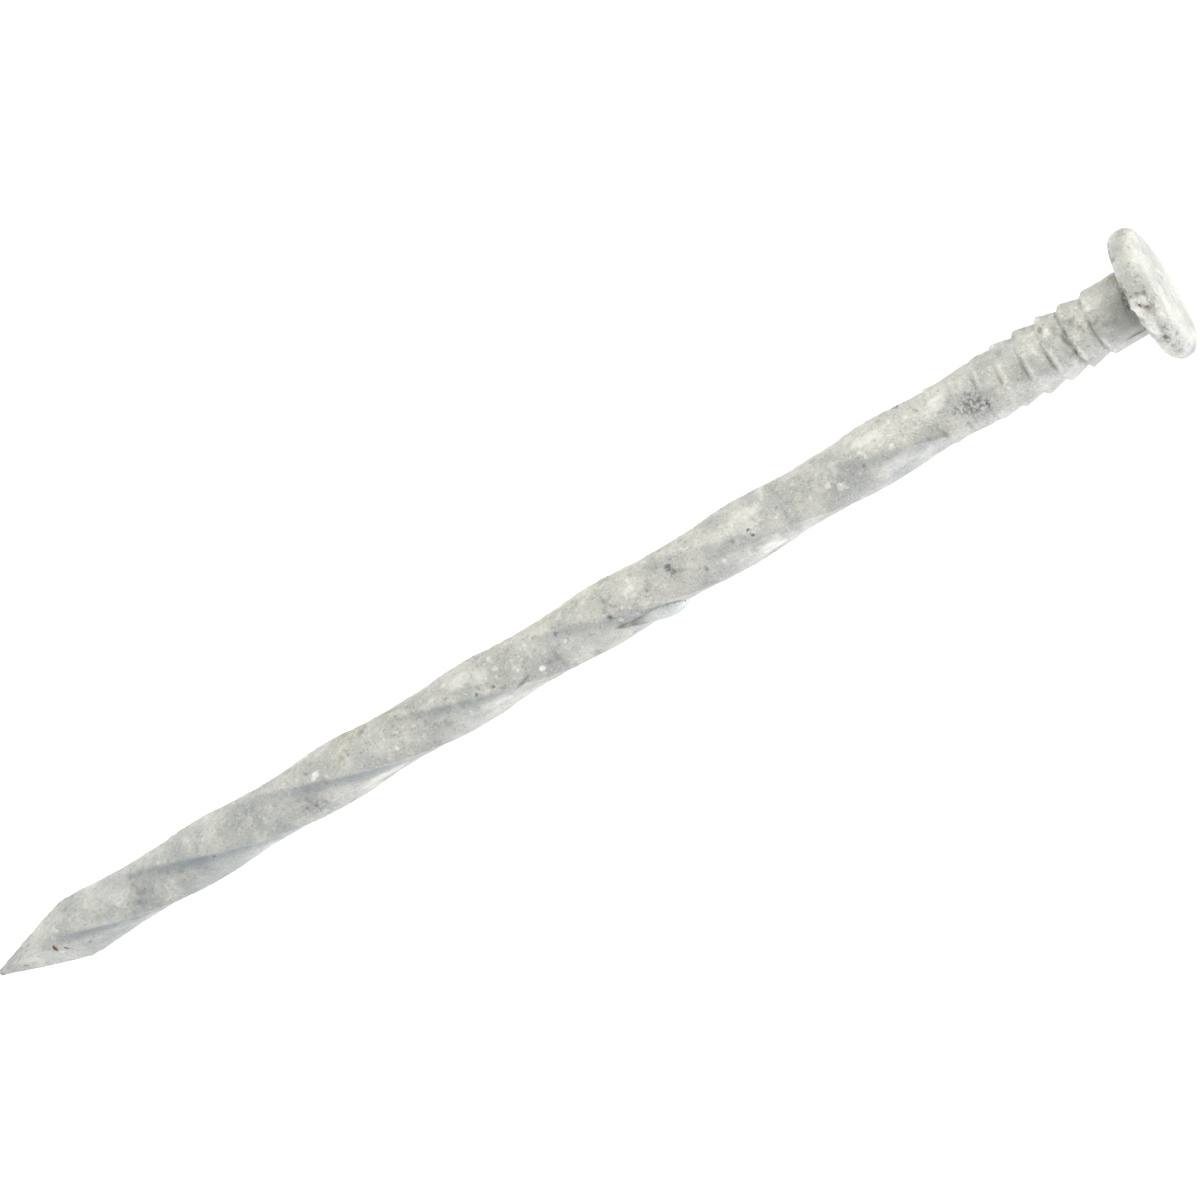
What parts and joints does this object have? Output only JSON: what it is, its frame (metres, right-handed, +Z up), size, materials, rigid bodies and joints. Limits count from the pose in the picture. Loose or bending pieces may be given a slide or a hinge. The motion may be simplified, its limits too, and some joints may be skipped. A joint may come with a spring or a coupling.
{
  "type": "spiral shank nail",
  "caption": "Galvanised wire nail with a flat round head, grip rings under it, a right-hand twisted square shank and a pinched diamond point.",
  "frame": {"origin": "centre of the head's bearing plane, where the finished underside of the head meets the timber", "axes": "+Z up the nail from the point to the head; the point is at z = -76.2 mm; +X is the side that carries the frozen zinc run"},
  "size_m": [0.0077, 0.0076, 0.0778],
  "materials": {
    "steel": "bare low-carbon steel, hidden under the zinc",
    "zinc": "matte, rough hot-dip zinc, weathered to a dull grey",
    "zinc_spill": "smooth frozen zinc, a little brighter than the coat",
    "dross": "small bright grains of zinc-iron dross"
  },
  "bodies": {
    "root": {"steel_nail": "steel", "zinc_coat": "zinc", "zinc_run": "zinc_spill", "dross_pimples": "dross"}
  },
  "joints": []
}
